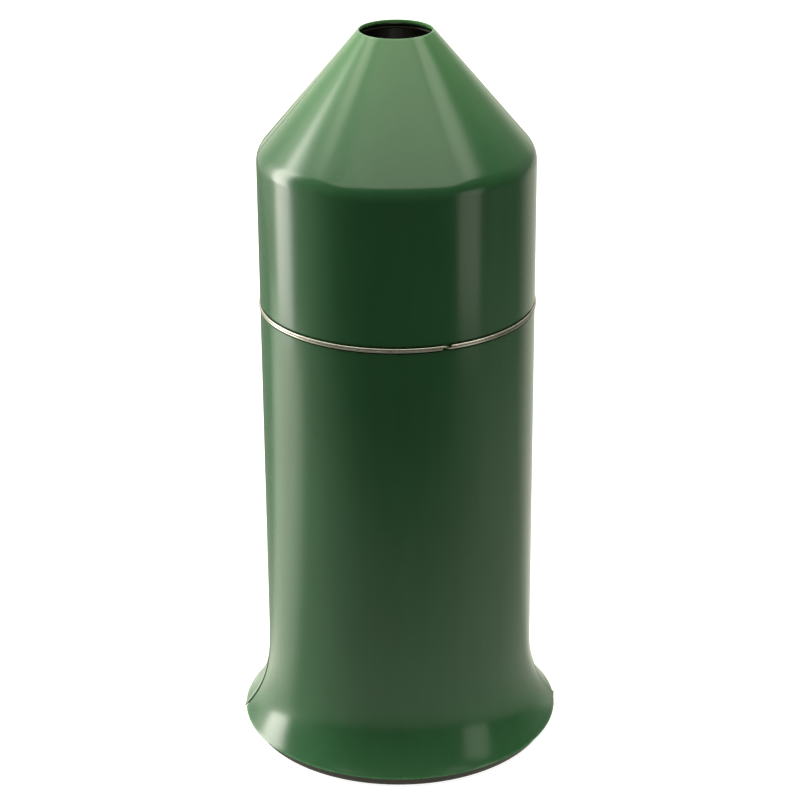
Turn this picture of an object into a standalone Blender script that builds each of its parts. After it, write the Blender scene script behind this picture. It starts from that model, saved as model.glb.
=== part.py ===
"""Pheromone insect trap: two clamped half shells with sticky liners and a hanging lure.

The trap is a hollow column with a conical top, open at a round hole, and a trumpet-shaped skirt at the
bottom. It splits down its height into two equal halves, which meet in a half-lap joint along each side.
A sprung wire ring of two turns sits in a groove round the body and holds the halves together. Inside
each half stands a brown glue-coated liner of the same shape, whose turned-in foot carries the trap.
A wire across the middle holds a rubber septum loaded with the pheromone.

Metres, +Z up. The origin is on the trap's axis at the level of the floor.
"""

import math

import bmesh
import bpy
from mathutils import Matrix, Vector

MM = 0.001

# Overall shape, measured on the outside of the half shells.
BODY_RADIUS = 55.0 * MM
TOTAL_HEIGHT = 298.7 * MM
HOLE_RADIUS = 14.2 * MM
LIP_WIDTH = 0.45 * MM
SHOULDER_HEIGHT = 250.3 * MM
SHOULDER_FILLET = 10.3 * MM
FLARE_START = 42.6 * MM
RIM_HEIGHT = 4.5 * MM
RIM_RADIUS = 65.8 * MM
FLARE_POWER = 3.1

# Walls, gaps and the joint between the two halves.
SHELL_WALL = 1.1 * MM
LAP_WALL = 0.4 * MM
GAP = 0.35 * MM
SEAM_TURN = 5.0
SEAM_GAP_ANGLE = 0.6
LAP_ANGLE = 4.0
STEP_ANGLE = 0.25
LAP_SPLAY = 0.4 * MM

# Clamp ring and its groove.
RING_WIRE = 0.8 * MM
RING_PITCH = 0.9 * MM
RING_HEIGHT = 187.8 * MM
RING_STANDS_PROUD = 0.5 * MM
RING_LOW_END = 288.0
RING_HIGH_END = 292.0
RING_END_CLEARANCE = 0.3
GROOVE_SLOPE = 0.5 * MM

# Liners.
LINER_WALL = 0.8 * MM
LINER_BEHIND_HOLE = 0.5 * MM
FOOT_RADIUS = 62.6 * MM
FOOT_WIDTH = 5.0 * MM
LINER_EDGE_ANGLE = 0.5

# Lure and the wire that holds it.
HANGER_WIRE = 1.6 * MM
HANGER_HEIGHT = 232.0 * MM
HANGER_FOOT = 14.0 * MM
HANGER_DIP = 4.0 * MM
HANGER_DIP_HALF = 3.0 * MM
HANGER_CORNER = 3.2 * MM
PIN_WIRE = 1.0 * MM
PIN_HOOK_START = -50.0
PIN_BEND = 2.0 * MM
PIN_FOOT = 6.0 * MM
SEPTUM_TOP_BELOW_BAR = 9.0 * MM
SEPTUM_LENGTH = 20.0 * MM
SEPTUM_RADIUS = 4.6 * MM
SEPTUM_LIP_RADIUS = 5.6 * MM
SEPTUM_LIP_HEIGHT = 7.0 * MM
SEPTUM_ROUNDING = 0.8 * MM

# Smoothness of round shapes.
HALF_STEPS = 24
FILLET_STEPS = 4
FLARE_STEPS = 9
RING_STEPS_PER_TURN = 56
RING_CLIMB_STEPS = 5
HOOK_STEPS = 10
CORNER_STEPS = 3
SEPTUM_STEPS = 20

GREEN = (0.022, 0.125, 0.048, 1.0)
BROWN = (0.030, 0.022, 0.014, 1.0)
STEEL = (0.62, 0.60, 0.56, 1.0)
RUBBER = (0.33, 0.075, 0.045, 1.0)


def clear_scene():
    for item in list(bpy.data.objects):
        bpy.data.objects.remove(item, do_unlink=True)


def make_material(name, colour, roughness, metallic):
    material = bpy.data.materials.new(name)
    material.use_nodes = True
    shader = material.node_tree.nodes["Principled BSDF"]
    shader.inputs["Base Color"].default_value = colour
    shader.inputs["Roughness"].default_value = roughness
    shader.inputs["Metallic"].default_value = metallic
    return material


# ---------------------------------------------------------------- outlines


def shoulder_points():
    """The rounded corner between cone and body, as (radius, height) from top to bottom."""
    slope = math.atan2(TOTAL_HEIGHT - SHOULDER_HEIGHT, BODY_RADIUS - HOLE_RADIUS - LIP_WIDTH)
    turn = math.pi / 2 - slope
    tangent = SHOULDER_FILLET * math.tan(turn / 2)
    centre_r = BODY_RADIUS - SHOULDER_FILLET
    centre_z = SHOULDER_HEIGHT - tangent
    points = []
    for step in range(FILLET_STEPS + 1):
        angle = turn * (1 - step / FILLET_STEPS)
        radius = centre_r + SHOULDER_FILLET * math.cos(angle)
        points.append((radius, centre_z + SHOULDER_FILLET * math.sin(angle)))
    return points


def groove_points():
    """The groove that the clamp ring sits in."""
    depth = RING_WIRE - RING_STANDS_PROUD + GAP
    half_floor = (RING_WIRE + RING_PITCH) / 2 + GAP
    floor = BODY_RADIUS - depth
    return [
        (BODY_RADIUS, RING_HEIGHT + half_floor + GROOVE_SLOPE),
        (floor, RING_HEIGHT + half_floor),
        (floor, RING_HEIGHT - half_floor),
        (BODY_RADIUS, RING_HEIGHT - half_floor - GROOVE_SLOPE),
    ]


def flare_points(splay):
    """The trumpet at the bottom, which leaves the body smoothly and widens to the rim."""
    points = []
    for step in range(FLARE_STEPS + 1):
        part = step / FLARE_STEPS
        radius = BODY_RADIUS + (RIM_RADIUS - BODY_RADIUS) * part**FLARE_POWER + splay * part
        points.append((radius, FLARE_START + (RIM_HEIGHT - FLARE_START) * part))
    return points


def outer_line(splay):
    """The outside of the trap from the lip down to the rim, which may splay out a little more."""
    lip = (HOLE_RADIUS + LIP_WIDTH, TOTAL_HEIGHT)
    return [lip] + shoulder_points() + groove_points() + flare_points(splay)


def inset_line(distance, hole_radius, splay=0.0):
    """The outer line moved inwards by the distance, cut upright at the hole, level at the lip and rim."""
    line = [Vector(point) for point in outer_line(splay)]
    moved = []
    for index, point in enumerate(line):
        before = line[max(index - 1, 0)]
        after = line[min(index + 1, len(line) - 1)]
        first = (point - before) if index > 0 else (after - point)
        second = (after - point) if index < len(line) - 1 else first
        normals = [Vector((-way.y, way.x)).normalized() for way in (first, second)]
        middle = (normals[0] + normals[1]).normalized()
        moved.append(point - middle * distance / middle.dot(normals[0]))
    cone_way = moved[1] - moved[0]
    hole_edge = moved[0] + cone_way * ((hole_radius - moved[0].x) / cone_way.x)
    hole_edge.y = min(hole_edge.y, TOTAL_HEIGHT)
    moved[0] += cone_way * ((hole_radius + LIP_WIDTH - moved[0].x) / cone_way.x)
    rim_way = moved[-2] - moved[-1]
    moved[-1] += rim_way * ((RIM_HEIGHT - moved[-1].y) / rim_way.y)
    return [(point.x, point.y) for point in [hole_edge] + moved]


def shell_wall(outer_inset, inner_inset, splay=0.0):
    """The two sides of a shell's wall: outer and inner line, with equal numbers of points."""
    outer = inset_line(outer_inset, HOLE_RADIUS, splay)
    inner = inset_line(inner_inset, HOLE_RADIUS, splay)
    return outer, inner


def liner_wall():
    """A liner follows the inside of its shell, then turns down and in to a flat foot on the floor."""
    hole_radius = HOLE_RADIUS + LINER_BEHIND_HOLE
    outer = inset_line(SHELL_WALL + GAP, hole_radius)
    inner = inset_line(SHELL_WALL + GAP + LINER_WALL, hole_radius)
    outer += [(FOOT_RADIUS, 0.0), (FOOT_RADIUS - FOOT_WIDTH, 0.0)]
    inner += [(FOOT_RADIUS - LINER_WALL, LINER_WALL), (FOOT_RADIUS - FOOT_WIDTH, LINER_WALL)]
    return outer, inner


# ---------------------------------------------------------------- solids


def finish_object(name, work, material, sharp_angle=35.0):
    """Turn a bmesh into a named object with outward faces and smooth round surfaces."""
    bmesh.ops.recalc_face_normals(work, faces=work.faces)
    mesh = bpy.data.meshes.new(name)
    work.to_mesh(mesh)
    work.free()
    mesh.shade_smooth()
    mesh.set_sharp_from_angle(angle=math.radians(sharp_angle))
    mesh.materials.append(material)
    item = bpy.data.objects.new(name, mesh)
    bpy.context.scene.collection.objects.link(item)
    return item


def swept_half(name, sections, turn, material):
    """A solid through upright wall sections, given as (angle in degrees, (outer line, inner line))."""
    work = bmesh.new()
    rings = []
    for angle, (outer, inner) in sections:
        heading = math.radians(angle + turn)
        loop = list(outer) + list(reversed(inner))
        ring = [work.verts.new((r * math.cos(heading), r * math.sin(heading), z)) for r, z in loop]
        rings.append(ring)
    count = len(rings[0])
    for near, far in zip(rings, rings[1:]):
        for index in range(count):
            following = (index + 1) % count
            work.faces.new((near[index], near[following], far[following], far[index]))
    for ring in (rings[0], rings[-1]):
        for index in range(count // 2 - 1):
            mirrored = count - 1 - index
            work.faces.new((ring[index], ring[index + 1], ring[mirrored - 1], ring[mirrored]))
    return finish_object(name, work, material)


def even_angles(start, end, steps):
    return [start + (end - start) * step / steps for step in range(steps + 1)]


def half_shell(name, turn, material):
    """One shell half: a thin tongue, the full wall, and a thin outer lap over the neighbour's tongue.
    The lap splays out a little towards the rim, far from the ring that clamps it."""
    full = shell_wall(0.0, SHELL_WALL)
    tongue = shell_wall(SHELL_WALL - LAP_WALL, SHELL_WALL)
    lap = shell_wall(0.0, LAP_WALL)
    splayed_lap = shell_wall(0.0, LAP_WALL, LAP_SPLAY)
    end = 180.0 - SEAM_GAP_ANGLE
    lap_start = 180.0 - LAP_ANGLE
    sections = [(SEAM_GAP_ANGLE - LAP_ANGLE, tongue), (-STEP_ANGLE, tongue)]
    sections += [(angle, full) for angle in even_angles(0.0, lap_start, HALF_STEPS)]
    sections += [(lap_start + STEP_ANGLE, lap), (end, splayed_lap)]
    return swept_half(name, sections, turn, material)


def half_liner(name, turn, material):
    wall = liner_wall()
    angles = even_angles(LINER_EDGE_ANGLE, 180.0 - LINER_EDGE_ANGLE, HALF_STEPS)
    return swept_half(name, [(angle, wall) for angle in angles], turn, material)


def wire_object(name, points, thickness, material, sides=3):
    """A round wire along the points, with flat ends."""
    curve = bpy.data.curves.new(name, "CURVE")
    curve.dimensions = "3D"
    curve.bevel_depth = thickness / 2
    curve.bevel_resolution = sides
    curve.use_fill_caps = True
    spline = curve.splines.new("POLY")
    spline.points.add(len(points) - 1)
    for spot, point in zip(spline.points, points):
        spot.co = (*point, 1.0)
    curve.materials.append(material)
    item = bpy.data.objects.new(name, curve)
    bpy.context.scene.collection.objects.link(item)
    return item


def smooth_step(part):
    part = min(max(part, 0.0), 1.0)
    return part * part * (3 - 2 * part)


def ring_points():
    """Two turns of wire, one on the other. The wire climbs from the low turn to the high turn between
    its two ends, as on a split key ring."""
    centre_radius = BODY_RADIUS + RING_STANDS_PROUD - RING_WIRE / 2
    climb_start = RING_HIGH_END - 360.0 - RING_END_CLEARANCE
    climb_end = RING_LOW_END - 360.0 + RING_END_CLEARANCE
    low_turn = even_angles(RING_LOW_END, climb_start, RING_STEPS_PER_TURN)
    climb = even_angles(climb_start, climb_end, RING_CLIMB_STEPS)
    high_turn = even_angles(climb_end, RING_HIGH_END - 720.0, RING_STEPS_PER_TURN)
    points = []
    for angle in low_turn + climb[1:-1] + high_turn:
        climbed = smooth_step((climb_start - angle) / (climb_start - climb_end))
        heading = math.radians(angle)
        height = RING_HEIGHT + RING_PITCH * (climbed - 0.5)
        points.append((centre_radius * math.cos(heading), centre_radius * math.sin(heading), height))
    return points


# ---------------------------------------------------------------- lure


def seam_frame():
    """Turns local X onto the line of the seam, and moves local height 0 up to the hanger's bar."""
    bar_height = HANGER_HEIGHT - HANGER_DIP
    return Matrix.Translation((0.0, 0.0, bar_height)) @ Matrix.Rotation(math.radians(SEAM_TURN), 4, "Z")


def hanger_points():
    """A sprung wire across the body, with a dip for the pin and two feet that press on the rear liner."""
    liner_inside = BODY_RADIUS - SHELL_WALL - GAP - LINER_WALL
    reach = liner_inside - HANGER_WIRE / 2 - GAP
    half = [(HANGER_DIP_HALF, 0.0), (HANGER_DIP_HALF + HANGER_DIP, HANGER_DIP)]
    for angle in even_angles(90.0, 0.0, CORNER_STEPS):
        heading = math.radians(angle)
        along = reach - HANGER_CORNER * (1 - math.cos(heading))
        half.append((along, HANGER_DIP - HANGER_CORNER * (1 - math.sin(heading))))
    half.append((reach, HANGER_DIP - HANGER_FOOT))
    left = [(-along, 0.0, up) for along, up in reversed(half)]
    right = [(along, 0.0, up) for along, up in half]
    return left + right


def pin_points():
    """A pin bent over the bar at the top, straight through the septum, with a turned foot below it."""
    hook = (HANGER_WIRE + PIN_WIRE) / 2 + GAP
    points = []
    for angle in even_angles(PIN_HOOK_START, 180.0, HOOK_STEPS):
        heading = math.radians(angle)
        points.append((0.0, -hook * math.cos(heading), hook * math.sin(heading)))
    points.append((0.0, hook, -SEPTUM_TOP_BELOW_BAR / 2))
    points.append((0.0, 0.0, -SEPTUM_TOP_BELOW_BAR + PIN_BEND))
    bend_top = -SEPTUM_TOP_BELOW_BAR - SEPTUM_LENGTH - PIN_WIRE
    for angle in even_angles(0.0, 90.0, CORNER_STEPS):
        heading = math.radians(angle)
        points.append((0.0, PIN_BEND * (1 - math.cos(heading)), bend_top - PIN_BEND * math.sin(heading)))
    points.append((0.0, PIN_FOOT, bend_top - PIN_BEND))
    return points


def septum_profile():
    """The septum's section as (radius, height): a plug with a folded lip, bored for the pin."""
    bore = PIN_WIRE / 2 + GAP
    top = -SEPTUM_TOP_BELOW_BAR
    bottom = top - SEPTUM_LENGTH
    round_off = SEPTUM_ROUNDING
    return [
        (bore, top),
        (SEPTUM_LIP_RADIUS - round_off, top),
        (SEPTUM_LIP_RADIUS, top - round_off),
        (SEPTUM_LIP_RADIUS, top - SEPTUM_LIP_HEIGHT + round_off),
        (SEPTUM_LIP_RADIUS - round_off / 2, top - SEPTUM_LIP_HEIGHT),
        (SEPTUM_RADIUS, top - SEPTUM_LIP_HEIGHT),
        (SEPTUM_RADIUS - round_off / 2, bottom + round_off),
        (SEPTUM_RADIUS - round_off, bottom),
        (bore, bottom),
    ]


def turned_solid(name, profile, steps, material):
    """A closed section turned once round the Z axis."""
    work = bmesh.new()
    rings = []
    for angle in even_angles(0.0, 360.0, steps)[:-1]:
        heading = math.radians(angle)
        ring = [work.verts.new((r * math.cos(heading), r * math.sin(heading), z)) for r, z in profile]
        rings.append(ring)
    for near, far in zip(rings, rings[1:] + rings[:1]):
        for index in range(len(profile)):
            following = (index + 1) % len(profile)
            work.faces.new((near[index], near[following], far[following], far[index]))
    return finish_object(name, work, material)


# ---------------------------------------------------------------- assembly


def make_empty(name, matrix, parent=None):
    empty = bpy.data.objects.new(name, None)
    bpy.context.scene.collection.objects.link(empty)
    empty.parent = parent
    empty.matrix_local = matrix
    empty.empty_display_size = 10 * MM
    return empty


def build():
    clear_scene()
    green = make_material("green_plastic", GREEN, 0.22, 0.0)
    brown = make_material("glue_coated_brown", BROWN, 0.45, 0.0)
    steel = make_material("spring_steel", STEEL, 0.22, 1.0)
    rubber = make_material("septum_rubber", RUBBER, 0.6, 0.0)

    front_turn = 180.0 + SEAM_TURN
    rear_turn = SEAM_TURN
    half_shell("rear_shell", rear_turn, green)
    half_shell("front_shell", front_turn, green)
    half_liner("rear_liner", rear_turn, brown)
    half_liner("front_liner", front_turn, brown)
    wire_object("clamp_ring", ring_points(), RING_WIRE, steel, sides=2)

    bar = make_empty("hanger_bar_axis", seam_frame())
    hanger = wire_object("lure_hanger", hanger_points(), HANGER_WIRE, steel)
    pin = wire_object("lure_pin", pin_points(), PIN_WIRE, steel)
    septum = turned_solid("lure_septum", septum_profile(), SEPTUM_STEPS, rubber)
    for item in (hanger, pin, septum):
        item.parent = bar


build()
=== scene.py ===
"""Looks of the pheromone insect trap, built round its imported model.

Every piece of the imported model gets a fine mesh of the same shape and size, with rounded edges, and a
procedural material. Lengths are in metres, +Z up, with the origin on the trap's axis at floor level.
"""

import math

import bmesh
import bpy
from mathutils import Matrix, Vector


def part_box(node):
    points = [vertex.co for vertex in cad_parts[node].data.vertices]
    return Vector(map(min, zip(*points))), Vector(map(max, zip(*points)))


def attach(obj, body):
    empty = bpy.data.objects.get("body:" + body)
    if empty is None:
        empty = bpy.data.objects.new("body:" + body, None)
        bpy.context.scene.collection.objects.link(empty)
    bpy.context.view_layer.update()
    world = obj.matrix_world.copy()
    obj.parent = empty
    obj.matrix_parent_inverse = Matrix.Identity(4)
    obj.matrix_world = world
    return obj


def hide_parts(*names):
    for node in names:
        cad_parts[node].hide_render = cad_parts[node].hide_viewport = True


MM = 0.001

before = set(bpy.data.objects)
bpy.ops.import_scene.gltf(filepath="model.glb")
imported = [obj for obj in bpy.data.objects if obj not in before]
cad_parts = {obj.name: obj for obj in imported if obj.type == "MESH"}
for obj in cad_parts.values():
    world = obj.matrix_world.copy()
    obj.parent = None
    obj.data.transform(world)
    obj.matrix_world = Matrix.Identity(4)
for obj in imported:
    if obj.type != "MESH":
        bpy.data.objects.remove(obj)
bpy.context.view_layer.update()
shell_low, shell_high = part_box("front_shell")
ring_low, ring_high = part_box("clamp_ring")
septum_low, septum_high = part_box("lure_septum")
hanger_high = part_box("lure_hanger")[1]

# Overall shape of the half shells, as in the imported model.
TOTAL_HEIGHT = shell_high.z
RIM_HEIGHT = shell_low.z
BODY_RADIUS = 55.0 * MM
HOLE_RADIUS = 14.2 * MM
LIP_WIDTH = 0.45 * MM
SHOULDER_HEIGHT = 250.3 * MM
SHOULDER_FILLET = 10.3 * MM
FLARE_START = 42.6 * MM
RIM_CORNER_RADIUS = 66.05 * MM
FLARE_POWER = 3.1
EDGE_ROUNDING = 0.18 * MM

# Walls, gaps and the joint between the two halves.
SHELL_WALL = 1.1 * MM
LAP_WALL = 0.4 * MM
GAP = 0.35 * MM
SEAM_TURN = 5.0
SEAM_GAP_ANGLE = 0.6
LAP_ANGLE = 4.0
STEP_ANGLE = 0.25
SEAM_ROUNDING = 0.2 * MM
LAP_SPLAY = 0.4 * MM

# Clamp ring and its groove.
RING_WIRE = 0.8 * MM
RING_PITCH = 0.9 * MM
RING_HEIGHT = (ring_low.z + ring_high.z) / 2
RING_STANDS_PROUD = 0.5 * MM
RING_LOW_END = 288.0
RING_HIGH_END = 292.0
RING_END_CLEARANCE = 0.3
GROOVE_SLOPE = 0.5 * MM

# Liners.
LINER_WALL = 0.8 * MM
LINER_BEHIND_HOLE = 0.5 * MM
FOOT_RADIUS = 62.6 * MM
FOOT_WIDTH = 5.0 * MM
LINER_EDGE_ANGLE = 0.5

# Lure and the wire that holds it.
HANGER_WIRE = 1.6 * MM
HANGER_TOP = hanger_high.z - HANGER_WIRE / 2
HANGER_FOOT = 14.0 * MM
HANGER_DIP = 4.0 * MM
HANGER_DIP_HALF = 3.0 * MM
HANGER_CORNER = 3.2 * MM
PIN_WIRE = 1.0 * MM
PIN_HOOK_START = -50.0
PIN_BEND = 2.0 * MM
PIN_FOOT = 6.0 * MM
SEPTUM_TOP_BELOW_BAR = 9.0 * MM
SEPTUM_LENGTH = septum_high.z - septum_low.z
SEPTUM_RADIUS = 4.6 * MM
SEPTUM_LIP_RADIUS = 5.6 * MM
SEPTUM_LIP_HEIGHT = 7.0 * MM
SEPTUM_ROUNDING = 0.8 * MM

# The lure's frame: its origin is on the hanger's bar, with X along the seams' plane.
SEAM_ROTATION = Matrix.Rotation(math.radians(SEAM_TURN), 4, "Z")
SEAM_FRAME = Matrix.Translation((0.0, 0.0, HANGER_TOP - HANGER_DIP)) @ SEAM_ROTATION

# The camera, fitted to the view of the object, in metres, degrees and millimetres of lens.
CAMERA_PLACE = (0.0, -0.9533, 0.5540)
CAMERA_PITCH = 23.280
CAMERA_YAW = 0.045
CAMERA_ROLL = 0.357
CAMERA_LENS = 114.59
SENSOR_WIDTH = 36.0
CLIP_START = 0.05
CLIP_END = 50.0

# Fineness of the meshes.
FULL_WALL_START = 1.0
TONGUE_STEPS = 3
HALF_STEPS = 116
FILLET_STEPS = 14
GROOVE_STEPS = 16
FLARE_STEPS = 30
CORNER_STEPS = 6
EDGE_STEPS = 4
LAP_STEPS = 4
RING_STEPS_PER_TURN = 240
RING_CLIMB_STEPS = 16
WIRE_SIDES = 20
WIRE_CORNER_STEPS = 10
WIRE_LEVEL_STEPS = 8
TIP_FIRST_TURN = math.pi / 8
TIP_LAST_TURN = math.pi / 2 * 0.9
SEPTUM_STEPS = 64
SHARP_ANGLE = 40.0
STRAIGHT_PARTS = (0.03, 0.1, 0.3, 0.5, 0.7, 0.9, 0.97)
HALVINGS = 30


# ---------------------------------------------------------------- outlines


def even_steps(start, end, steps):
    """The values from start to end in even steps, both ends included."""
    return [start + (end - start) * step / steps for step in range(steps + 1)]


def smooth_step(part):
    """Nought up to 0 and one from 1 on, with a soft climb between."""
    part = min(max(part, 0.0), 1.0)
    return part * part * (3 - 2 * part)


def straight(start, end):
    """The points between two corners, close together near the corners so that shading stays flat."""
    return [start.lerp(end, part) for part in STRAIGHT_PARTS]


def groove_depth(height):
    """How far the groove for the clamp ring cuts in at this height, with soft edges."""
    deepest = RING_WIRE - RING_STANDS_PROUD + GAP
    half_floor = (RING_WIRE + RING_PITCH) / 2 + GAP
    outside_floor = abs(height - RING_HEIGHT) - half_floor
    return deepest * (1 - smooth_step(outside_floor / GROOVE_SLOPE))


def flare_point(part, inset, splay):
    """A point on the trumpet at the bottom, this far inside its outer surface."""
    widening = RIM_CORNER_RADIUS - BODY_RADIUS
    drop = RIM_HEIGHT - FLARE_START
    radius = BODY_RADIUS + widening * part**FLARE_POWER + splay * part
    way = Vector((widening * FLARE_POWER * part ** (FLARE_POWER - 1) + splay, drop)).normalized()
    return Vector((radius, FLARE_START + drop * part)) - Vector((-way.y, way.x)) * inset


def flare_end(inset, splay):
    """The part of the trumpet at which the inset line reaches the level of the rim."""
    low, high = 0.0, 1.0
    for _ in range(HALVINGS):
        middle = (low + high) / 2
        if flare_point(middle, inset, splay).y > RIM_HEIGHT:
            low = middle
        else:
            high = middle
    return high


def shoulder_line(inset, slope):
    """The rounded shoulder between the cone and the body, this far inside its outer surface."""
    turn = math.pi / 2 - slope
    centre_height = SHOULDER_HEIGHT - SHOULDER_FILLET * math.tan(turn / 2)
    centre = Vector((BODY_RADIUS - SHOULDER_FILLET, centre_height))
    angles = even_steps(turn, 0.0, FILLET_STEPS)
    radius = SHOULDER_FILLET - inset
    return [centre + Vector((math.cos(angle), math.sin(angle))) * radius for angle in angles]


def groove_line(inset):
    """The wall across the clamp ring's groove, this far inside its outer surface."""
    half_groove = (RING_WIRE + RING_PITCH) / 2 + GAP + GROOVE_SLOPE
    heights = even_steps(RING_HEIGHT + half_groove, RING_HEIGHT - half_groove, GROOVE_STEPS)
    return [Vector((BODY_RADIUS - inset - groove_depth(height), height)) for height in heights]


def wall_line(inset, hole_radius, splay=0.0):
    """One side of a wall as (radius, height), from the lip at the hole down to the rim."""
    slope = math.atan2(TOTAL_HEIGHT - SHOULDER_HEIGHT, BODY_RADIUS - HOLE_RADIUS - LIP_WIDTH)
    outward = Vector((math.sin(slope), math.cos(slope)))
    down_cone = Vector((math.cos(slope), -math.sin(slope)))
    start = Vector((HOLE_RADIUS + LIP_WIDTH, TOTAL_HEIGHT)) - outward * inset
    start += down_cone * ((hole_radius + LIP_WIDTH - start.x) / math.cos(slope))
    hole_edge = Vector((hole_radius, min(start.y + LIP_WIDTH * math.tan(slope), TOTAL_HEIGHT)))

    shoulder = shoulder_line(inset, slope)
    if inset == 0:
        lip = corner_arc(hole_edge, start, shoulder[0], EDGE_ROUNDING)
    else:
        lip = straight(hole_edge, start)
    points = [hole_edge] + lip + straight(start, shoulder[0]) + shoulder

    groove = groove_line(inset)
    points += straight(shoulder[-1], groove[0]) + groove
    flare_parts = even_steps(0.0, flare_end(inset, splay), FLARE_STEPS)
    flare = [flare_point(part, inset, splay) for part in flare_parts]
    return points + straight(groove[-1], flare[0]) + flare


def corner_arc(before, corner, after, radius):
    """The corner rounded to this radius, as a list of points."""
    back = (before - corner).normalized()
    onward = (after - corner).normalized()
    half = math.acos(max(-1.0, min(1.0, back.dot(onward)))) / 2
    centre = corner + (back + onward).normalized() * (radius / math.sin(half))
    first = corner + back * (radius / math.tan(half)) - centre
    last = corner + onward * (radius / math.tan(half)) - centre
    sweep = math.pi - 2 * half
    points = []
    for part in even_steps(0.0, 1.0, CORNER_STEPS):
        weight_first = math.sin((1 - part) * sweep) / math.sin(sweep)
        weight_last = math.sin(part * sweep) / math.sin(sweep)
        points.append(centre + first * weight_first + last * weight_last)
    return points


def rounded_side(line, opposite, radius):
    """One side of a wall with its two end corners rounded towards the opposite side."""
    first = corner_arc(opposite[0], line[0], line[1], radius)
    last = corner_arc(line[-2], line[-1], opposite[-1], radius)
    return first + line[1:-1] + last


def shell_section(outer_inset, inner_inset, splay=0.0):
    """The two sides of a shell's wall between two depths below the outer surface."""
    outer = wall_line(outer_inset, HOLE_RADIUS, splay)
    inner = wall_line(inner_inset, HOLE_RADIUS, splay)
    radius = min(EDGE_ROUNDING, (inner_inset - outer_inset) / 6)
    return rounded_side(outer, inner, radius), rounded_side(inner, outer, radius)


def liner_section():
    """A liner follows the inside of its shell, then turns down and in to a flat foot on the floor."""
    outer = wall_line(SHELL_WALL + GAP, HOLE_RADIUS + LINER_BEHIND_HOLE)
    inner = wall_line(SHELL_WALL + GAP + LINER_WALL, HOLE_RADIUS + LINER_BEHIND_HOLE)
    foot_out = Vector((FOOT_RADIUS, 0.0))
    foot_in = Vector((FOOT_RADIUS - FOOT_WIDTH, 0.0))
    foot_out_top = Vector((FOOT_RADIUS - LINER_WALL, LINER_WALL))
    foot_in_top = Vector((FOOT_RADIUS - FOOT_WIDTH, LINER_WALL))
    rim_out = outer[-1]
    rim_in = inner[-1]
    outer = outer[:-1] + corner_arc(outer[-2], rim_out, foot_out, LINER_WALL / 2)
    inner = inner[:-1] + corner_arc(inner[-2], rim_in, foot_out_top, LINER_WALL / 2)
    outer += corner_arc(rim_out, foot_out, foot_in, LINER_WALL) + [foot_in]
    inner += corner_arc(rim_in, foot_out_top, foot_in_top, LINER_WALL / 4) + [foot_in_top]
    radius = LINER_WALL / 3
    return rounded_side(outer, inner, radius), rounded_side(inner, outer, radius)


# ---------------------------------------------------------------- meshes


def finished_mesh(name, work):
    """A mesh from the bmesh, with outward faces, smooth but for its sharp edges."""
    bmesh.ops.recalc_face_normals(work, faces=work.faces)
    mesh = bpy.data.meshes.new(name)
    work.to_mesh(mesh)
    work.free()
    mesh.shade_smooth()
    mesh.set_sharp_from_angle(angle=math.radians(SHARP_ANGLE))
    return mesh


def add_piece(mesh, materials, body, node):
    """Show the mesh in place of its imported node, riding on the node's body."""
    item = bpy.data.objects.new(mesh.name, mesh)
    bpy.context.scene.collection.objects.link(item)
    for material in materials:
        mesh.materials.append(material)
    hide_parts(node)
    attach(item, body)


def swept_half(name, sections, turn, inside_material=0):
    """A solid through upright wall sections, given as (angle in degrees, (outer side, inner side))."""
    work = bmesh.new()
    rings = []
    for angle, (outer, inner) in sections:
        heading = math.radians(angle + turn)
        across = Vector((math.cos(heading), math.sin(heading), 0.0))
        loop = outer + inner[::-1]
        rings.append([work.verts.new(across * point.x + Vector((0.0, 0.0, point.y))) for point in loop])
    count = len(rings[0])
    for near, far in zip(rings, rings[1:]):
        for index in range(count):
            following = (index + 1) % count
            face = work.faces.new((near[index], near[following], far[following], far[index]))
            face.material_index = inside_material if index >= count // 2 else 0
    for ring in (rings[0], rings[-1]):
        for index in range(count // 2 - 1):
            mirrored = count - 1 - index
            work.faces.new((ring[index], ring[index + 1], ring[mirrored - 1], ring[mirrored]))
    return finished_mesh(name, work)


def rounded_edge(angle, direction, radius, inner_inset, splay=0.0):
    """Sections that round a wall's upright edge, from the edge at this angle on to the full wall."""
    sections = []
    for turn in even_steps(0.0, math.pi / 2, EDGE_STEPS):
        along = radius * (1 - math.cos(turn)) / BODY_RADIUS
        section = shell_section(radius * (1 - math.sin(turn)), inner_inset, splay)
        sections.append((angle + direction * math.degrees(along), section))
    return sections


def half_shell(name, turn):
    """One shell half: a thin tongue, the full wall, and a thin outer lap over the neighbour's tongue.
    The lap splays out a little towards the rim, far from the ring that clamps it."""
    tongue = shell_section(SHELL_WALL - LAP_WALL, SHELL_WALL)
    full = shell_section(0.0, SHELL_WALL)
    lap_start = 180.0 - LAP_ANGLE
    wall_start = rounded_edge(0.0, 1, SEAM_ROUNDING, SHELL_WALL)
    lap_end = rounded_edge(180.0 - SEAM_GAP_ANGLE, -1, SEAM_ROUNDING, LAP_WALL, LAP_SPLAY)[::-1]
    tongue_angles = even_steps(SEAM_GAP_ANGLE - LAP_ANGLE, -STEP_ANGLE, TONGUE_STEPS)
    sections = [(angle, tongue) for angle in tongue_angles]
    sections += wall_start
    sections += [(angle, full) for angle in even_steps(FULL_WALL_START, lap_start, HALF_STEPS)]
    lap_width = lap_end[0][0] - lap_start - STEP_ANGLE
    for part in even_steps(0.0, 1.0, LAP_STEPS)[:-1]:
        lap = shell_section(0.0, LAP_WALL, LAP_SPLAY * part)
        sections.append((lap_start + STEP_ANGLE + lap_width * part, lap))
    sections += lap_end
    return swept_half(name, sections, turn)


def half_liner(name, turn):
    """One liner, with its glue side as the second material."""
    section = liner_section()
    angles = even_steps(LINER_EDGE_ANGLE, 180.0 - LINER_EDGE_ANGLE, HALF_STEPS)
    return swept_half(name, [(angle, section) for angle in angles], turn, inside_material=1)


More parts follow.
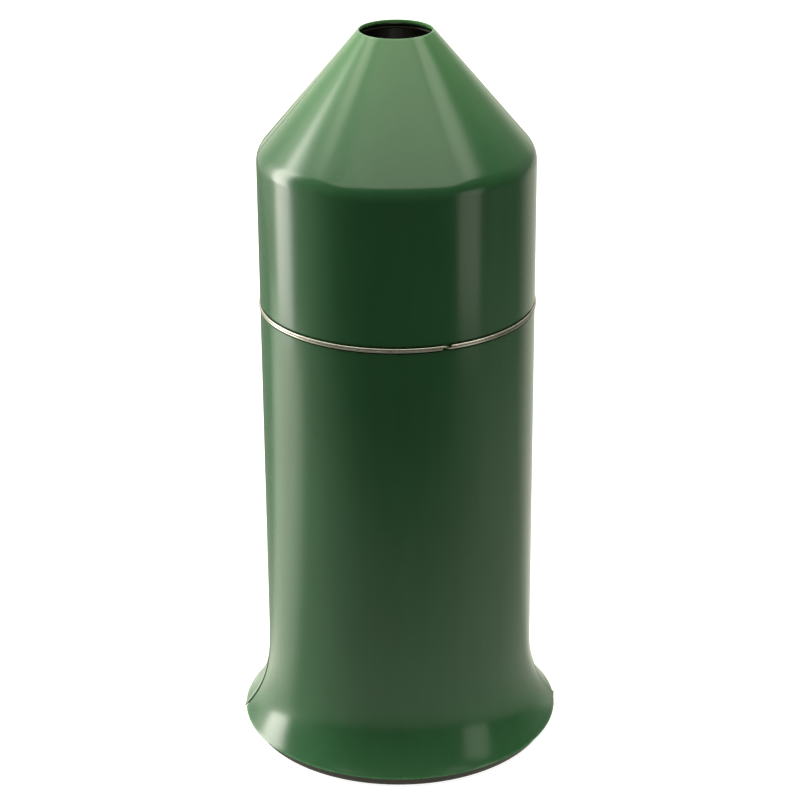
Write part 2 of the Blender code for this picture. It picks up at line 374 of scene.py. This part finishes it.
def wire_tip(tip, way, radius):
    """The rounded end of a wire, as (place, radius) from the tip outwards."""
    stations = []
    for turn in even_steps(TIP_FIRST_TURN, TIP_LAST_TURN, EDGE_STEPS):
        spot = tip + way.normalized() * (radius / 2 * math.sin(turn))
        stations.append((spot, radius * (0.5 + 0.5 * math.cos(turn))))
    return stations


def swept_wire(name, path, thickness):
    """A round wire along the path, with rounded ends."""
    radius = thickness / 2
    start_tip = wire_tip(path[0], path[0] - path[1], radius)
    end_tip = wire_tip(path[-1], path[-1] - path[-2], radius)
    stations = start_tip[::-1] + [(point, radius) for point in path] + end_tip
    work = bmesh.new()
    rings = []
    side = None
    for index, (point, width) in enumerate(stations):
        before = stations[max(index - 1, 0)][0]
        after = stations[min(index + 1, len(stations) - 1)][0]
        way = (after - before).normalized()
        side = way.orthogonal() if side is None else side - way * side.dot(way)
        side.normalize()
        other = way.cross(side)
        ring = []
        for step in range(WIRE_SIDES):
            angle = 2 * math.pi * step / WIRE_SIDES
            outward = side * math.cos(angle) + other * math.sin(angle)
            ring.append(work.verts.new(point + outward * width))
        rings.append(ring)
    for near, far in zip(rings, rings[1:]):
        for step in range(WIRE_SIDES):
            following = (step + 1) % WIRE_SIDES
            work.faces.new((near[step], near[following], far[following], far[step]))
    work.faces.new(rings[0])
    work.faces.new(rings[-1])
    return finished_mesh(name, work)


def ring_path():
    """Two turns of wire, one on the other. The wire climbs from the low turn to the high turn between
    its two ends, as on a split key ring."""
    centre_radius = BODY_RADIUS + RING_STANDS_PROUD - RING_WIRE / 2
    climb_start = RING_HIGH_END - 360.0 - RING_END_CLEARANCE
    climb_end = RING_LOW_END - 360.0 + RING_END_CLEARANCE
    low_turn = even_steps(RING_LOW_END, climb_start, RING_STEPS_PER_TURN)
    climb = even_steps(climb_start, climb_end, RING_CLIMB_STEPS)
    high_turn = even_steps(climb_end, RING_HIGH_END - 720.0, RING_STEPS_PER_TURN)
    path = []
    for angle in low_turn + climb[1:-1] + high_turn:
        climbed = smooth_step((climb_start - angle) / (climb_start - climb_end))
        heading = math.radians(angle)
        height = RING_HEIGHT + RING_PITCH * (climbed - 0.5)
        along_x = centre_radius * math.cos(heading)
        along_y = centre_radius * math.sin(heading)
        path.append(Vector((along_x, along_y, height)))
    return path


# ---------------------------------------------------------------- lure


def hanger_path():
    """A sprung wire across the body, with a dip for the pin and two feet along the rear liner."""
    liner_inside = BODY_RADIUS - SHELL_WALL - GAP - LINER_WALL
    reach = liner_inside - HANGER_WIRE / 2 - GAP
    slope_start = HANGER_DIP_HALF + HANGER_DIP
    half = []
    for part in even_steps(0.0, 1.0, WIRE_CORNER_STEPS):
        half.append((HANGER_DIP_HALF + HANGER_DIP * part, HANGER_DIP * smooth_step(part)))
    level = even_steps(slope_start, reach - HANGER_CORNER, WIRE_LEVEL_STEPS)[1:-1]
    half += [(along, HANGER_DIP) for along in level]
    for angle in even_steps(math.pi / 2, 0.0, WIRE_CORNER_STEPS):
        along = reach - HANGER_CORNER * (1 - math.cos(angle))
        half.append((along, HANGER_DIP - HANGER_CORNER * (1 - math.sin(angle))))
    half.append((reach, HANGER_DIP - HANGER_FOOT))
    left = [(-along, 0.0, up) for along, up in reversed(half)]
    right = [(along, 0.0, up) for along, up in half]
    return [SEAM_FRAME @ Vector(point) for point in left + right]


def pin_path():
    """A pin bent over the bar at the top, straight through the septum, with a turned foot below it."""
    hook = (HANGER_WIRE + PIN_WIRE) / 2 + GAP
    points = []
    for angle in even_steps(math.radians(PIN_HOOK_START), math.pi, 2 * WIRE_CORNER_STEPS):
        points.append((0.0, -hook * math.cos(angle), hook * math.sin(angle)))
    leg_low = -SEPTUM_TOP_BELOW_BAR + PIN_BEND
    for part in even_steps(0.0, 1.0, WIRE_CORNER_STEPS):
        points.append((0.0, hook * (1 - smooth_step(part)), (leg_low + hook) * part - hook))
    bend_top = -SEPTUM_TOP_BELOW_BAR - SEPTUM_LENGTH - PIN_WIRE
    for angle in even_steps(0.0, math.pi / 2, WIRE_CORNER_STEPS):
        points.append((0.0, PIN_BEND * (1 - math.cos(angle)), bend_top - PIN_BEND * math.sin(angle)))
    points.append((0.0, PIN_FOOT, bend_top - PIN_BEND))
    return [SEAM_FRAME @ Vector(point) for point in points]


def septum_mesh(name):
    """The septum: a rubber plug with a folded lip, bored for the pin, turned round its axis."""
    bore = PIN_WIRE / 2 + GAP
    top = -SEPTUM_TOP_BELOW_BAR
    bottom = top - SEPTUM_LENGTH
    lip_bottom = top - SEPTUM_LIP_HEIGHT
    corners = [
        (bore, top, SEPTUM_ROUNDING / 4),
        (SEPTUM_LIP_RADIUS, top, SEPTUM_ROUNDING),
        (SEPTUM_LIP_RADIUS, lip_bottom, SEPTUM_ROUNDING / 2),
        (SEPTUM_RADIUS, lip_bottom, SEPTUM_ROUNDING / 4),
        (SEPTUM_RADIUS, bottom, SEPTUM_ROUNDING),
        (bore, bottom, SEPTUM_ROUNDING / 4),
    ]
    profile = []
    for index, (radius, height, rounding) in enumerate(corners):
        before = corners[index - 1]
        after = corners[(index + 1) % len(corners)]
        spots = [Vector(corner[:2]) for corner in (before, (radius, height), after)]
        profile += corner_arc(*spots, rounding)
    work = bmesh.new()
    rings = []
    for angle in even_steps(0.0, 2 * math.pi, SEPTUM_STEPS)[:-1]:
        across = Vector((math.cos(angle), math.sin(angle), 0.0))
        spots = [SEAM_FRAME @ (across * point.x + Vector((0.0, 0.0, point.y))) for point in profile]
        rings.append([work.verts.new(spot) for spot in spots])
    for near, far in zip(rings, rings[1:] + rings[:1]):
        for index in range(len(profile)):
            following = (index + 1) % len(profile)
            work.faces.new((near[index], near[following], far[following], far[index]))
    return finished_mesh(name, work)


# ---------------------------------------------------------------- materials


GREEN_DEEP = (0.030, 0.100, 0.043, 1.0)
GREEN_BRIGHT = (0.036, 0.122, 0.053, 1.0)
# Paler green painted on towards the top as light.
GREEN_TOP_LIT = (0.080, 0.205, 0.088, 1.0)
# Paler green painted on the rim and the hole's lip as highlight.
GREEN_EDGE_HIGHLIGHT = (0.11, 0.28, 0.13, 1.0)
# Pale green painted on the cut face inside the hole as light.
GREEN_CUT_FACE_LIT = (0.11, 0.30, 0.11, 1.0)
DUST = (0.30, 0.34, 0.26, 1.0)
# Near black painted into the seams' gaps as shade.
SEAM_PAINTED_SHADE = (0.006, 0.009, 0.005, 1.0)
BROWN_DEEP = (0.012, 0.010, 0.0065, 1.0)
BROWN_BRIGHT = (0.024, 0.020, 0.013, 1.0)
BROWN_RUBBED = (0.075, 0.064, 0.046, 1.0)
# Near black painted on the liner near the hole as shade.
BROWN_PAINTED_SHADE_AT_HOLE = (0.004, 0.0035, 0.0025, 1.0)
GLUE_THIN = (0.010, 0.0083, 0.0052, 1.0)
GLUE_THICK = (0.020, 0.0155, 0.0085, 1.0)
GLUE_GRIT = (0.006, 0.005, 0.004, 1.0)
GLUE_TINT = (1.0, 0.90, 0.70, 1.0)
STEEL_BRIGHT = (0.60, 0.575, 0.52, 1.0)
STEEL_DULL = (0.30, 0.26, 0.20, 1.0)
# Brown painted into the crease between the ring's turns as shade.
STEEL_CREASE_SHADE = (0.055, 0.028, 0.012, 1.0)
RUBBER_RED = (0.30, 0.062, 0.036, 1.0)
RUBBER_BLOOM = (0.46, 0.17, 0.12, 1.0)


def add_node(tree, kind, inputs, **settings):
    """A new node with its settings. An input is a value, or the socket that feeds it."""
    made = tree.nodes.new(kind)
    for key, value in settings.items():
        setattr(made, key, value)
    for key, value in inputs.items():
        if isinstance(value, bpy.types.NodeSocket):
            tree.links.new(value, made.inputs[key])
        else:
            made.inputs[key].default_value = value
    return made


def new_material(name):
    """A material with its node tree, its main shader and the places on the object."""
    material = bpy.data.materials.new(name)
    material.use_nodes = True
    tree = material.node_tree
    place = tree.nodes.new("ShaderNodeTexCoord").outputs["Object"]
    return material, tree, tree.nodes["Principled BSDF"], place


def noise(tree, place, size, detail=3.0, roughness=0.5):
    """Noise whose features are about this long, in metres."""
    inputs = {"Vector": place, "Scale": 1 / size, "Detail": detail, "Roughness": roughness}
    return add_node(tree, "ShaderNodeTexNoise", inputs).outputs["Fac"]


def stretched(tree, place, scale):
    """Places multiplied by this scale: a small factor draws a pattern out along its axis."""
    return add_node(tree, "ShaderNodeMapping", {"Vector": place, "Scale": scale}).outputs["Vector"]


def map_range(tree, value, low, high, to_low=0.0, to_high=1.0, smooth=False):
    """The value's range from low to high, stretched to the new range and held at its ends."""
    inputs = {"Value": value, "From Min": low, "From Max": high, "To Min": to_low, "To Max": to_high}
    kind = "SMOOTHSTEP" if smooth else "LINEAR"
    return add_node(tree, "ShaderNodeMapRange", inputs, interpolation_type=kind).outputs["Result"]


def math_node(tree, operation, first, second=0.0):
    made = add_node(tree, "ShaderNodeMath", {0: first, 1: second}, operation=operation)
    return made.outputs[0]


def times(tree, first, second):
    return math_node(tree, "MULTIPLY", first, second)


def plus(tree, first, second):
    return math_node(tree, "ADD", first, second)


def mix_colour(tree, share, first, second):
    """The first colour at share 0, the second at share 1."""
    inputs = {"Factor": share, 6: first, 7: second}
    return add_node(tree, "ShaderNodeMix", inputs, data_type="RGBA").outputs[2]


def bump(tree, height, distance, strength, below=None):
    """A surface raised by this distance where the height is 1, on top of the bumps below it."""
    inputs = {"Height": height, "Distance": distance, "Strength": strength}
    if below is not None:
        inputs["Normal"] = below
    return add_node(tree, "ShaderNodeBump", inputs).outputs["Normal"]


def height_of(tree, place):
    return add_node(tree, "ShaderNodeSeparateXYZ", {"Vector": place}).outputs["Z"]


def around_axis(tree, place):
    """Places as (angle, radius, height), for marks that run round the trap's axis, and the radius."""
    split = add_node(tree, "ShaderNodeSeparateXYZ", {"Vector": place})
    angle = math_node(tree, "ARCTAN2", split.outputs["Y"], split.outputs["X"])
    square_x = math_node(tree, "POWER", split.outputs["X"], 2.0)
    square_y = math_node(tree, "POWER", split.outputs["Y"], 2.0)
    radius = math_node(tree, "SQRT", plus(tree, square_x, square_y))
    inputs = {"X": angle, "Y": radius, "Z": split.outputs["Z"]}
    return add_node(tree, "ShaderNodeCombineXYZ", inputs).outputs["Vector"], radius


def specks(tree, place, spacing, size):
    """Small round specks about this far apart: 1 on a speck, 0 elsewhere."""
    inputs = {"Vector": place, "Scale": 1 / spacing, "Randomness": 1.0}
    distance = add_node(tree, "ShaderNodeTexVoronoi", inputs).outputs["Distance"]
    return map_range(tree, distance, size / spacing, size / spacing * 0.5)


def moulded_green(tree, place):
    """The green itself: clouds and upright flow marks, painted paler towards the top as light."""
    clouds = noise(tree, place, 60 * MM, detail=2.0)
    flow = noise(tree, stretched(tree, place, (1.0, 1.0, 0.15)), 6 * MM, detail=4.0)
    shade = plus(tree, times(tree, clouds, 0.6), times(tree, flow, 0.4))
    colour = mix_colour(tree, map_range(tree, shade, 0.3, 0.7), GREEN_DEEP, GREEN_BRIGHT)
    # Painted light: the green is painted paler towards the top.
    lit_top = map_range(tree, height_of(tree, place), SHOULDER_HEIGHT, TOTAL_HEIGHT)
    return mix_colour(tree, lit_top, colour, GREEN_TOP_LIT)


def painted_edge_highlight(tree, place):
    """How much painted highlight lies on the rim and the lip of the hole, in patches."""
    height = height_of(tree, place)
    near_hole = map_range(tree, height, TOTAL_HEIGHT - 0.7 * MM, TOTAL_HEIGHT - 0.1 * MM)
    near_rim = map_range(tree, height, RIM_HEIGHT + 1.0 * MM, RIM_HEIGHT + 0.1 * MM)
    edge = math_node(tree, "MAXIMUM", near_hole, near_rim)
    patchy = map_range(tree, noise(tree, place, 2.5 * MM, detail=5.0), 0.35, 0.65)
    return times(tree, edge, plus(tree, 0.35, times(tree, patchy, 0.4)))


def dusty_spots(tree, place):
    """Fine dust that lies in patches."""
    patches = map_range(tree, noise(tree, place, 35 * MM), 0.45, 0.6)
    return times(tree, specks(tree, place, 9 * MM, 0.28 * MM), patches)


def seam_painted_shade(tree, polar, radius):
    """1 in the gap of either seam, where the tongue shows, and 0 elsewhere: where the gap is painted dark
    as shade.
    """
    angle = add_node(tree, "ShaderNodeSeparateXYZ", {"Vector": polar}).outputs["X"]
    from_seam = math_node(tree, "SUBTRACT", angle, math.radians(SEAM_TURN - SEAM_GAP_ANGLE / 2))
    part_off = math_node(tree, "ABSOLUTE", math_node(tree, "SINE", from_seam))
    off_seam = times(tree, part_off, radius)
    half_gap = BODY_RADIUS * math.radians(SEAM_GAP_ANGLE) / 2
    return map_range(tree, off_seam, half_gap + 0.05 * MM, half_gap - 0.05 * MM)


def green_plastic():
    """Glossy moulded plastic with painted light towards the top, flow marks, scratches, dust, painted
    highlights on the rim and hole lip, painted light on the hole's cut face and painted shade in the seams.
    """
    material, tree, shader, place = new_material("green_plastic")
    polar, radius = around_axis(tree, place)
    dust = dusty_spots(tree, place)
    lit_cut_face = map_range(tree, radius, HOLE_RADIUS + 0.20 * MM, HOLE_RADIUS + 0.05 * MM)
    seam_shade = seam_painted_shade(tree, polar, radius)
    # Painted highlight: paler green on the rim and the lip of the hole.
    colour = mix_colour(tree, painted_edge_highlight(tree, place), moulded_green(tree, place), GREEN_EDGE_HIGHLIGHT)
    colour = mix_colour(tree, times(tree, dust, 0.35), colour, DUST)
    # Painted light: the cut face inside the hole is painted pale green.
    colour = mix_colour(tree, lit_cut_face, colour, GREEN_CUT_FACE_LIT)
    # Painted shade: the seams' gaps are painted nearly black.
    colour = mix_colour(tree, seam_shade, colour, SEAM_PAINTED_SHADE)
    tree.links.new(colour, shader.inputs["Base Color"])

    hairlines = noise(tree, stretched(tree, polar, (2.0, 20.0, 900.0)), 1.0, detail=6.0, roughness=0.7)
    scuffs = map_range(tree, noise(tree, place, 25 * MM, detail=4.0), 0.45, 0.75)
    rough = map_range(tree, times(tree, hairlines, scuffs), 0.2, 0.6, 0.17, 0.25)
    rough = plus(tree, rough, times(tree, dust, 0.3))
    rough = plus(tree, rough, times(tree, seam_shade, 0.5))
    tree.links.new(rough, shader.inputs["Roughness"])
    shader.inputs["IOR"].default_value = 1.5

    waves = bump(tree, noise(tree, place, 26 * MM, detail=1.0), 0.25 * MM, 0.35)
    peel = bump(tree, noise(tree, place, 1.6 * MM, detail=2.0), 0.004 * MM, 0.5, waves)
    scratched = bump(tree, hairlines, 0.002 * MM, 0.35, peel)
    tree.links.new(scratched, shader.inputs["Normal"])
    return material


def brown_plastic():
    """The liner's bare outside and foot: dark brown, satin, with a rubbed foot, and painted shade near the
    hole.
    """
    material, tree, shader, place = new_material("liner_plastic")
    clouds = noise(tree, place, 18 * MM, detail=5.0)
    colour = mix_colour(tree, map_range(tree, clouds, 0.3, 0.7), BROWN_DEEP, BROWN_BRIGHT)
    height = height_of(tree, place)
    low_edge = map_range(tree, height, 1.6 * MM, 0.2 * MM)
    patchy = map_range(tree, noise(tree, place, 1.8 * MM, detail=5.0), 0.4, 0.6)
    colour = mix_colour(tree, times(tree, low_edge, patchy), colour, BROWN_RUBBED)
    # Painted shade: the liner is painted almost black near the hole.
    near_hole = map_range(tree, height, TOTAL_HEIGHT - 6 * MM, TOTAL_HEIGHT - 4 * MM)
    colour = mix_colour(tree, near_hole, colour, BROWN_PAINTED_SHADE_AT_HOLE)
    tree.links.new(colour, shader.inputs["Base Color"])
    grain = noise(tree, place, 0.7 * MM, detail=3.0)
    tree.links.new(map_range(tree, grain, 0.3, 0.7, 0.38, 0.55), shader.inputs["Roughness"])
    tree.links.new(bump(tree, grain, 0.02 * MM, 0.5), shader.inputs["Normal"])
    return material


def glue_film():
    """The liner's inside: brown plastic under a wet, amber film of glue, combed on in upright ridges."""
    material, tree, shader, place = new_material("glue_film")
    polar, _ = around_axis(tree, place)
    ridges = noise(tree, stretched(tree, polar, (38.0, 0.0, 22.0)), 1.0, detail=4.0)
    sags = noise(tree, stretched(tree, place, (1.0, 1.0, 0.5)), 7 * MM, detail=3.0)
    thick = plus(tree, times(tree, ridges, 0.6), times(tree, sags, 0.4))
    colour = mix_colour(tree, map_range(tree, thick, 0.35, 0.65), GLUE_THIN, GLUE_THICK)
    grit = specks(tree, place, 5 * MM, 0.35 * MM)
    colour = mix_colour(tree, times(tree, grit, 0.5), colour, GLUE_GRIT)
    tree.links.new(colour, shader.inputs["Base Color"])
    shader.inputs["Roughness"].default_value = 0.42
    shader.inputs["Specular IOR Level"].default_value = 0.2
    shader.inputs["Coat Weight"].default_value = 0.10
    shader.inputs["Coat Roughness"].default_value = 0.14
    shader.inputs["Coat Tint"].default_value = GLUE_TINT
    lumps = bump(tree, thick, 0.5 * MM, 0.6)
    tree.links.new(bump(tree, grit, 0.2 * MM, 0.6, lumps), shader.inputs["Normal"])
    return material


def spring_steel(name, crease_shade):
    """Drawn bright wire with fine lines along it, and this much brown painted shade in the crease where the
    turns touch.
    """
    material, tree, shader, place = new_material(name)
    polar, _ = around_axis(tree, place)
    lines = noise(tree, stretched(tree, polar, (6.0, 9000.0, 9000.0)), 1.0, detail=3.0)
    tarnish = map_range(tree, noise(tree, place, 5 * MM, detail=6.0, roughness=0.6), 0.42, 0.72)
    colour = mix_colour(tree, times(tree, tarnish, 0.55), STEEL_BRIGHT, STEEL_DULL)
    above_middle = math_node(tree, "SUBTRACT", height_of(tree, place), RING_HEIGHT)
    from_middle = math_node(tree, "ABSOLUTE", above_middle)
    # Painted shade: a brown line in the crease between the two turns.
    touching = map_range(tree, from_middle, 0.30 * MM, 0.06 * MM, smooth=True)
    colour = mix_colour(tree, times(tree, touching, crease_shade), colour, STEEL_CREASE_SHADE)
    tree.links.new(colour, shader.inputs["Base Color"])
    shader.inputs["Metallic"].default_value = 1.0
    rough = map_range(tree, lines, 0.3, 0.7, 0.17, 0.34)
    rough = plus(tree, rough, times(tree, tarnish, 0.12))
    tree.links.new(rough, shader.inputs["Roughness"])
    tree.links.new(bump(tree, lines, 0.01 * MM, 0.4), shader.inputs["Normal"])
    return material


def septum_rubber():
    """Matt moulded rubber with a bloom on its surface."""
    material, tree, shader, place = new_material("septum_rubber")
    bloom = map_range(tree, noise(tree, place, 2.4 * MM, detail=6.0), 0.4, 0.7)
    colour = mix_colour(tree, times(tree, bloom, 0.5), RUBBER_RED, RUBBER_BLOOM)
    tree.links.new(colour, shader.inputs["Base Color"])
    grain = noise(tree, place, 0.25 * MM, detail=2.0)
    tree.links.new(map_range(tree, grain, 0.3, 0.7, 0.55, 0.75), shader.inputs["Roughness"])
    tree.links.new(bump(tree, grain, 0.03 * MM, 0.5), shader.inputs["Normal"])
    return material


# ---------------------------------------------------------------- studio


WARM = (1.0, 1.0, 0.84)
NEUTRAL = (1.0, 0.97, 0.90)
WHITE = (1.0, 1.0, 1.0, 1.0)
FLOOR_GREY = (0.50, 0.50, 0.50, 1.0)
FLOOR_GLOW = 0.90
FLOOR_REACH = 6.0

# The table's glowing sheet lies just below the floor.
TABLE_DEPTH = 2 * MM
TABLE_LEFT = -0.5
TABLE_RIGHT = 1.3
TABLE_FRONT = -0.65
TABLE_BACK = 2.0

# The soft panels on the left stand in one line and reflect as the long highlight.
LEFT_PLACE = (-0.985, 0.255)
BODY_LEVEL = 0.41
FOOT_LEVEL = -0.20
CARD_LEVEL = 0.16

# The panels overhead, side by side from front to back: name, place along Y, depth, strength.
TOP_LEVEL = 1.25
TOP_WIDTH = 2.4
TOP_PANELS = (
    ("top_front", -0.62, 0.9, 2.0),
    ("top_middle", 0.05, 0.9, 3.1),
    ("top_back", 1.0, 1.4, 1.7),
)

# Soft glows on the studio's walls: azimuth from the camera's side, elevation, spread, strength.
WALL_GLOWS = (
    (-100, -25, 45, 0.45),
    (-95, 15, 50, 0.20),
    (-145, 15, 50, 0.95),
    (180, 10, 40, 0.80),
    (145, 15, 50, 0.30),
)

# Sheens of the table, low and far out, in the same terms.
BACK_SHEEN = (150, 0, 38, 0.6)
LEFT_SHEEN = (-103, 0, 27, 2.0)


def stage_plane(name, corners, material):
    """A flat four-cornered sheet that isn't part of the object."""
    mesh = bpy.data.meshes.new(name)
    mesh.from_pydata(corners, [], [tuple(range(len(corners)))])
    mesh.materials.append(material)
    item = bpy.data.objects.new(name, mesh)
    bpy.context.scene.collection.objects.link(item)
    return item


def empty_tree(name):
    """A new material whose node tree is still empty, and the tree."""
    material = bpy.data.materials.new(name)
    material.use_nodes = True
    material.node_tree.nodes.clear()
    return material, material.node_tree


def rectangle(left, right, front, back, height=0.0):
    """The corners of a level rectangle."""
    return [(left, front, height), (right, front, height), (right, back, height), (left, back, height)]


def glow_towards(tree, way, azimuth, elevation, spread, strength):
    """A soft round glow, strongest in one direction and gone at the spread angle from it."""
    heading = math.radians(azimuth)
    rise = math.radians(elevation)
    aim = (math.sin(heading) * math.cos(rise), -math.cos(heading) * math.cos(rise), math.sin(rise))
    dot = add_node(tree, "ShaderNodeVectorMath", {0: way, 1: aim}, operation="DOT_PRODUCT").outputs["Value"]
    return map_range(tree, dot, math.cos(math.radians(spread)), 1.0, 0.0, strength, smooth=True)


def soft_panel(name, centre, facing, width, height, strength, colour, soft_edge):
    """A lit, see-through panel that fades towards its edges. The camera doesn't see it."""
    material, tree = empty_tree(name)
    place = tree.nodes.new("ShaderNodeTexCoord").outputs["Object"]
    split = add_node(tree, "ShaderNodeSeparateXYZ", {"Vector": place})
    fades = []
    for axis, size in (("X", width), ("Y", height)):
        from_middle = math_node(tree, "ABSOLUTE", split.outputs[axis])
        fades.append(map_range(tree, from_middle, size / 2, size / 2 - soft_edge, smooth=True))
    light = times(tree, *fades)
    inputs = {"Color": (*colour, 1.0), "Strength": times(tree, light, strength)}
    glow = add_node(tree, "ShaderNodeEmission", inputs).outputs["Emission"]
    clear = tree.nodes.new("ShaderNodeBsdfTransparent").outputs["BSDF"]
    both = add_node(tree, "ShaderNodeAddShader", {0: glow, 1: clear}).outputs["Shader"]
    add_node(tree, "ShaderNodeOutputMaterial", {"Surface": both})
    panel = stage_plane(name, rectangle(-width / 2, width / 2, -height / 2, height / 2), material)
    way = (Vector(facing) - Vector(centre)).normalized()
    panel.matrix_world = Matrix.Translation(centre) @ way.to_track_quat("Z", "Y").to_matrix().to_4x4()
    panel.visible_camera = False
    panel.visible_shadow = False


def add_table_glow():
    """What the object's gloss and shade get from the table: bright round the object, dark in front."""
    material, tree = empty_tree("table_glow")
    place = tree.nodes.new("ShaderNodeTexCoord").outputs["Object"]
    split = add_node(tree, "ShaderNodeSeparateXYZ", {"Vector": place})
    rise = map_range(tree, split.outputs["Y"], -0.37, -0.10, 0.0, 0.66)
    fall = map_range(tree, split.outputs["Y"], -BODY_RADIUS, 0.25, 1.0, 0.45)
    right_fade = map_range(tree, split.outputs["X"], 0.12, 0.65, 1.0, 0.3)
    level = times(tree, times(tree, rise, fall), right_fade)
    heading = add_node(tree, "ShaderNodeVectorMath", {0: place}, operation="NORMALIZE").outputs["Vector"]
    back_sheen = glow_towards(tree, heading, *BACK_SHEEN)
    left_sheen = glow_towards(tree, heading, *LEFT_SHEEN)
    distance = add_node(tree, "ShaderNodeVectorMath", {0: place}, operation="LENGTH").outputs["Value"]
    left_sheen = times(tree, left_sheen, map_range(tree, distance, 0.07, 0.40, 0.4, 1.0))
    strength = plus(tree, plus(tree, level, left_sheen), back_sheen)
    inputs = {"Color": (*WARM, 1.0), "Strength": strength}
    glow = add_node(tree, "ShaderNodeEmission", inputs).outputs["Emission"]
    add_node(tree, "ShaderNodeOutputMaterial", {"Surface": glow})
    corners = rectangle(TABLE_LEFT, TABLE_RIGHT, TABLE_FRONT, TABLE_BACK, -TABLE_DEPTH)
    table = stage_plane("table_glow", corners, material)
    table.visible_camera = False
    table.visible_shadow = False


def add_floor():
    """A plain pale floor, overexposed as on a light table. Only the camera sees it. The object is lit
    from below by the table glow instead."""
    material = bpy.data.materials.new("floor")
    material.use_nodes = True
    shader = material.node_tree.nodes["Principled BSDF"]
    shader.inputs["Base Color"].default_value = FLOOR_GREY
    shader.inputs["Roughness"].default_value = 0.9
    shader.inputs["Specular IOR Level"].default_value = 0.0
    shader.inputs["Emission Color"].default_value = WHITE
    shader.inputs["Emission Strength"].default_value = FLOOR_GLOW
    corners = rectangle(-FLOOR_REACH, FLOOR_REACH, -FLOOR_REACH, FLOOR_REACH)
    floor = stage_plane("floor", corners, material)
    floor.visible_diffuse = False
    floor.visible_glossy = False
    floor.visible_shadow = False


def add_world():
    """Dim, warm surroundings for light and gloss, and a plain white ground behind the object."""
    world = bpy.data.worlds.new("studio")
    bpy.context.scene.world = world
    world.use_nodes = True
    tree = world.node_tree
    tree.nodes.clear()
    way = tree.nodes.new("ShaderNodeTexCoord").outputs["Generated"]
    total = 0.0
    for wall_glow in WALL_GLOWS:
        total = plus(tree, glow_towards(tree, way, *wall_glow), total)
    surroundings = add_node(tree, "ShaderNodeBackground", {"Color": (*WARM, 1.0), "Strength": total})
    plain = add_node(tree, "ShaderNodeBackground", {"Color": WHITE, "Strength": 1.0})
    seen = tree.nodes.new("ShaderNodeLightPath").outputs["Is Camera Ray"]
    inputs = {0: seen, 1: surroundings.outputs[0], 2: plain.outputs[0]}
    mixed = add_node(tree, "ShaderNodeMixShader", inputs).outputs[0]
    add_node(tree, "ShaderNodeOutputWorld", {"Surface": mixed})


def add_left_panels():
    """A bright tall core with a wide soft halo, a low panel for the flare and a high one for the cone."""
    core = (*LEFT_PLACE, BODY_LEVEL)
    foot = (*LEFT_PLACE, FOOT_LEVEL)
    body_axis = (0.0, 0.0, BODY_LEVEL)
    foot_axis = (0.0, 0.0, FOOT_LEVEL)
    soft_panel("left_core", core, body_axis, 0.50, 1.16, strength=8.2, colour=NEUTRAL, soft_edge=0.16)
    soft_panel("left_foot", foot, foot_axis, 0.52, 0.40, strength=4.2, colour=NEUTRAL, soft_edge=0.15)
    halo = (-0.99, 0.36, BODY_LEVEL)
    high = (-0.95, 0.31, 1.15)
    shoulder = (0.0, 0.0, 0.30)
    soft_panel("left_halo", halo, body_axis, 0.90, 1.30, strength=2.1, colour=WARM, soft_edge=0.40)
    soft_panel("left_high", high, shoulder, 1.0, 0.8, strength=1.2, colour=WARM, soft_edge=0.2)


def add_right_card():
    """A small card near the object on the right, seen as a narrow stripe in its gloss."""
    place = (0.425, -0.265, CARD_LEVEL)
    axis = (0.0, 0.0, CARD_LEVEL)
    soft_panel("right_card", place, axis, 0.22, 0.34, strength=1.25, colour=WARM, soft_edge=0.05)


def add_top_panels():
    """Panels overhead, which the cone reflects."""
    for name, along, depth, strength in TOP_PANELS:
        place = (0.0, along, TOP_LEVEL)
        soft_panel(name, place, (0.0, along, 0.0), TOP_WIDTH, depth, strength, WARM, soft_edge=0.2)


def add_studio():
    scene = bpy.context.scene
    scene.view_settings.view_transform = "Standard"
    scene.view_settings.look = "None"
    add_world()
    add_floor()
    add_table_glow()
    add_left_panels()
    add_right_card()
    add_top_panels()


def add_camera():
    data = bpy.data.cameras.new("camera")
    data.lens = CAMERA_LENS
    data.sensor_width = SENSOR_WIDTH
    data.clip_start = CLIP_START
    data.clip_end = CLIP_END
    camera = bpy.data.objects.new("camera", data)
    bpy.context.scene.collection.objects.link(camera)
    yaw = Matrix.Rotation(math.radians(-CAMERA_YAW), 4, "Z")
    pitch = Matrix.Rotation(math.radians(90.0 - CAMERA_PITCH), 4, "X")
    roll = Matrix.Rotation(math.radians(-CAMERA_ROLL), 4, "Z")
    camera.matrix_world = Matrix.Translation(CAMERA_PLACE) @ yaw @ pitch @ roll
    bpy.context.scene.camera = camera


# ---------------------------------------------------------------- assembly


def build():
    """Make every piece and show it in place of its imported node."""
    green = [green_plastic()]
    liner = [brown_plastic(), glue_film()]
    ring_steel = [spring_steel("ring_steel", 0.9)]
    lure_steel = [spring_steel("lure_steel", 0.0)]
    rubber = [septum_rubber()]

    front_turn = 180.0 + SEAM_TURN
    rear_shell = half_shell("rear_shell_skin", SEAM_TURN)
    front_shell = half_shell("front_shell_skin", front_turn)
    rear_liner = half_liner("rear_liner_skin", SEAM_TURN)
    front_liner = half_liner("front_liner_skin", front_turn)
    ring = swept_wire("clamp_ring_wire", ring_path(), RING_WIRE)
    hanger = swept_wire("lure_hanger_wire", hanger_path(), HANGER_WIRE)
    pin = swept_wire("lure_pin_wire", pin_path(), PIN_WIRE)
    septum = septum_mesh("lure_septum_rubber")

    add_piece(rear_shell, green, "rear_half", "rear_shell")
    add_piece(front_shell, green, "front_half", "front_shell")
    add_piece(rear_liner, liner, "rear_insert", "rear_liner")
    add_piece(front_liner, liner, "front_insert", "front_liner")
    add_piece(ring, ring_steel, "ring", "clamp_ring")
    add_piece(hanger, lure_steel, "rear_insert", "lure_hanger")
    add_piece(pin, lure_steel, "lure", "lure_pin")
    add_piece(septum, rubber, "lure", "lure_septum")


add_camera()
add_studio()
build()
